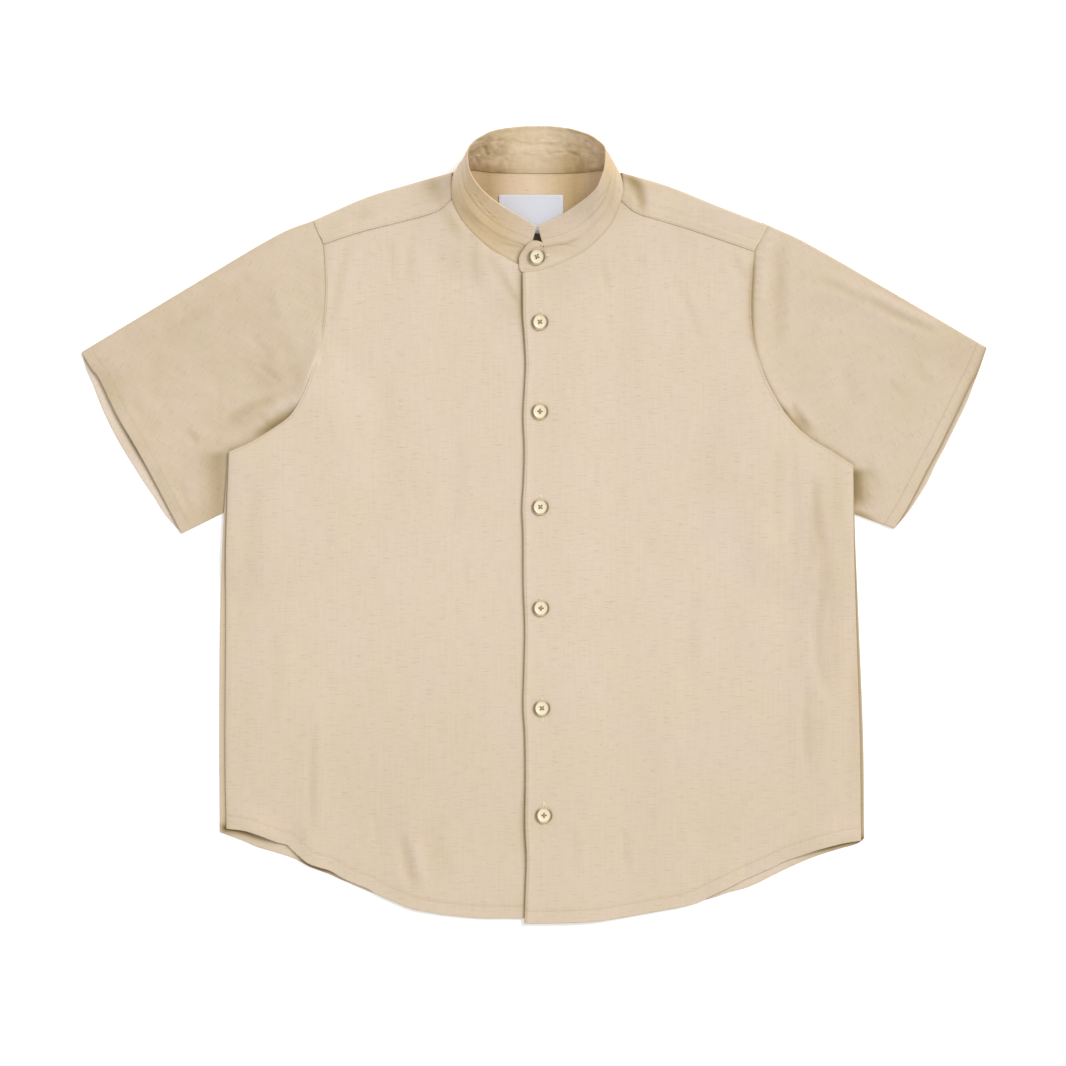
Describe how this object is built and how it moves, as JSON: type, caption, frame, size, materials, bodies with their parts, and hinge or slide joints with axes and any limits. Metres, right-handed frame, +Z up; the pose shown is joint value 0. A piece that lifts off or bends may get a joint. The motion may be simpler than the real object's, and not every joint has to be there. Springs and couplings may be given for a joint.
{
  "type": "mandarin collar shirt",
  "caption": "Short-sleeved linen-look shirt with a stand-up band collar and a curved hem, buttoned up and laid flat on its back.",
  "frame": {"origin": "the middle of the shirt's plan, on the surface that it lies on", "axes": "+Z up from the surface, out of the shirt's front; +Y from the hem to the collar; +X towards the wearer's left"},
  "size_m": [0.841, 0.7402, 0.0397],
  "materials": {
    "linen": "matte plain weave with slubs, beige",
    "collar_linen": "the same cloth, doubled and interlined",
    "label": "white woven satin, bare",
    "size_tab": "dark brown woven tape, bare",
    "button": "ivory, half gloss"
  },
  "bodies": {
    "root": {"back": "linen", "yoke": "linen", "front_right": "linen", "front_left": "linen", "sleeve_right": "linen", "sleeve_left": "linen", "collar_stand": "collar_linen", "collar_band": "collar_linen", "neck_label": "label", "size_tab": "size_tab", "button_1": "button", "button_2": "button", "button_3": "button", "button_4": "button", "button_5": "button", "button_6": "button", "button_7": "button"}
  },
  "joints": []
}
